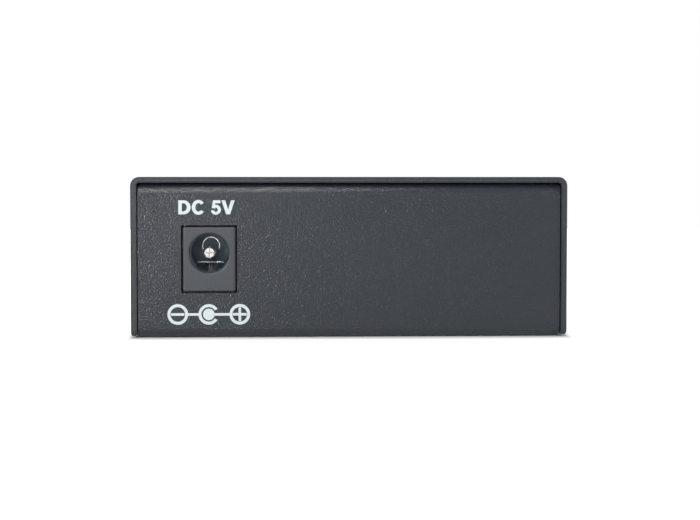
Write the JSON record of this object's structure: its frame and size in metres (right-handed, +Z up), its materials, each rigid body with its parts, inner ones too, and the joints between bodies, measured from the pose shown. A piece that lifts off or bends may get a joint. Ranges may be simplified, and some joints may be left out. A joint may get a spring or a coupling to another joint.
{
  "type": "fibre media converter",
  "caption": "Small desktop network converter in a folded steel case, with a power socket behind and a network socket, a duplex fibre port and lamps in front.",
  "frame": {"origin": "middle of the case's underside, which is the plane it rests on", "axes": "+X to the right seen from the front, +Y from the front panel with the data ports to the rear panel with the power socket, +Z up"},
  "size_m": [0.073, 0.0944, 0.0268],
  "materials": {
    "case_coating": "fine-textured dark grey powder coat",
    "zinc_steel": "bright zinc plate",
    "screw_black": "black oxide",
    "board_green": "solder mask over glass laminate",
    "socket_plastic": "moulded dark grey plastic",
    "black_plastic": "moulded black plastic",
    "nickel": "nickel plate",
    "tin": "bright tin plate",
    "gold": "gold plate",
    "ceramic_white": "white ceramic",
    "fibre_blue": "moulded blue plastic",
    "lamp_lens": "frosted tinted resin",
    "chip_black": "moulded epoxy",
    "can_aluminium": "bright can",
    "ferrite": "bare ferrite",
    "part_ceramic": "fired ceramic"
  },
  "bodies": {
    "root": {"top_cover": "case_coating", "base_tray": "case_coating", "cover_screws": "screw_black", "board_standoffs": "zinc_steel", "board_screws": "zinc_steel", "circuit_board": "board_green", "power_socket_housing": "socket_plastic", "power_socket_pin": "nickel", "power_socket_sleeve_spring": "nickel", "power_socket_switch_contact": "nickel", "power_socket_pin_terminal": "nickel", "network_socket_housing": "black_plastic", "network_socket_shield": "tin", "network_socket_contacts": "gold", "fibre_transceiver_housing": "black_plastic", "fibre_transmit_latch": "fibre_blue", "fibre_receive_latch": "fibre_blue", "fibre_transmit_barrel": "ceramic_white", "fibre_receive_barrel": "ceramic_white", "fibre_transceiver_pins": "tin", "lamp_holder": "black_plastic", "lamp_1": "lamp_lens", "lamp_2": "lamp_lens", "lamp_3": "lamp_lens", "lamp_4": "lamp_lens", "lamp_5": "lamp_lens", "lamp_6": "lamp_lens", "line_transformer": "chip_black", "line_transformer_leads": "tin", "converter_chip": "chip_black", "converter_chip_leads": "tin", "memory_chip": "chip_black", "memory_chip_leads": "tin", "crystal_can": "can_aluminium", "power_choke": "ferrite", "input_fuse": "part_ceramic", "capacitor_1_base": "black_plastic", "capacitor_1_can": "can_aluminium", "capacitor_2_base": "black_plastic", "capacitor_2_can": "can_aluminium", "voltage_regulator": "chip_black", "voltage_regulator_leads": "tin", "chip_resistors": "part_ceramic"}
  },
  "joints": []
}
